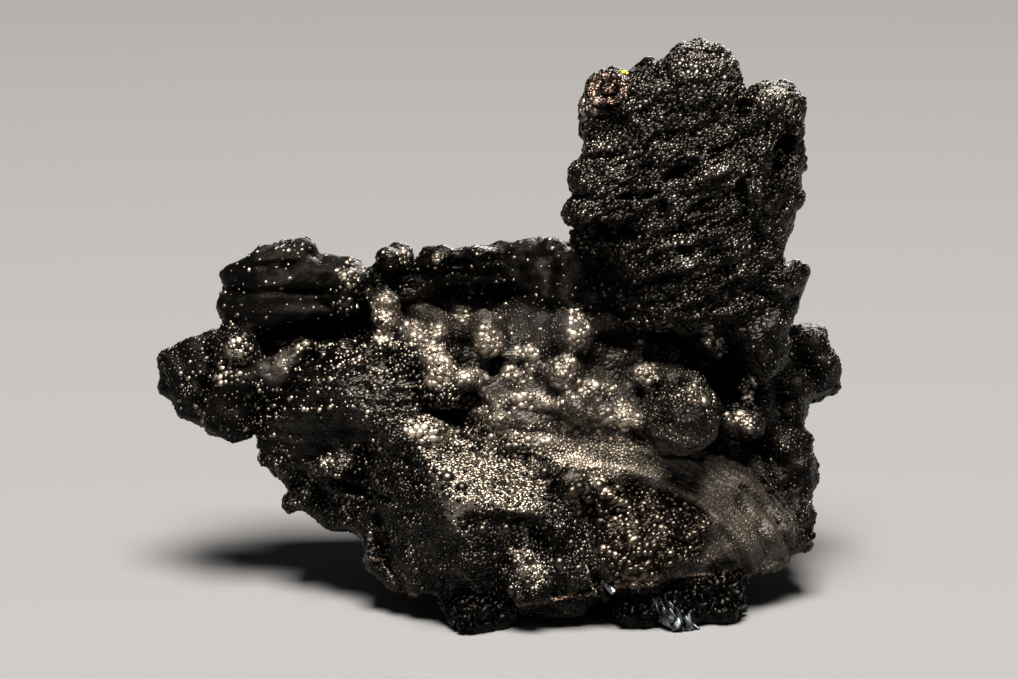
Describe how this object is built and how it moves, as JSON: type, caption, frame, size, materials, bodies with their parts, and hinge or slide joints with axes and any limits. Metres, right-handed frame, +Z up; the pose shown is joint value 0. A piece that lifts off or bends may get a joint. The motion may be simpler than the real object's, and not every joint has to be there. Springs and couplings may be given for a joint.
{
  "type": "goethite mineral specimen",
  "caption": "Dark metallic mineral specimen: a ledged upright blade over a knobbly, bead-crusted mass with a broad fan in front, cut flat where it stands.",
  "frame": {"origin": "middle of the footprint box, on the plane that the specimen stands on", "axes": "+X to the right along the specimen's length, +Y from its front to its back, +Z up"},
  "size_m": [0.064, 0.0282, 0.0508],
  "materials": {
    "goethite": "submetallic, dark bronze brown, with a fine beaded crust"
  },
  "bodies": {
    "root": {"goethite": "goethite"}
  },
  "joints": []
}
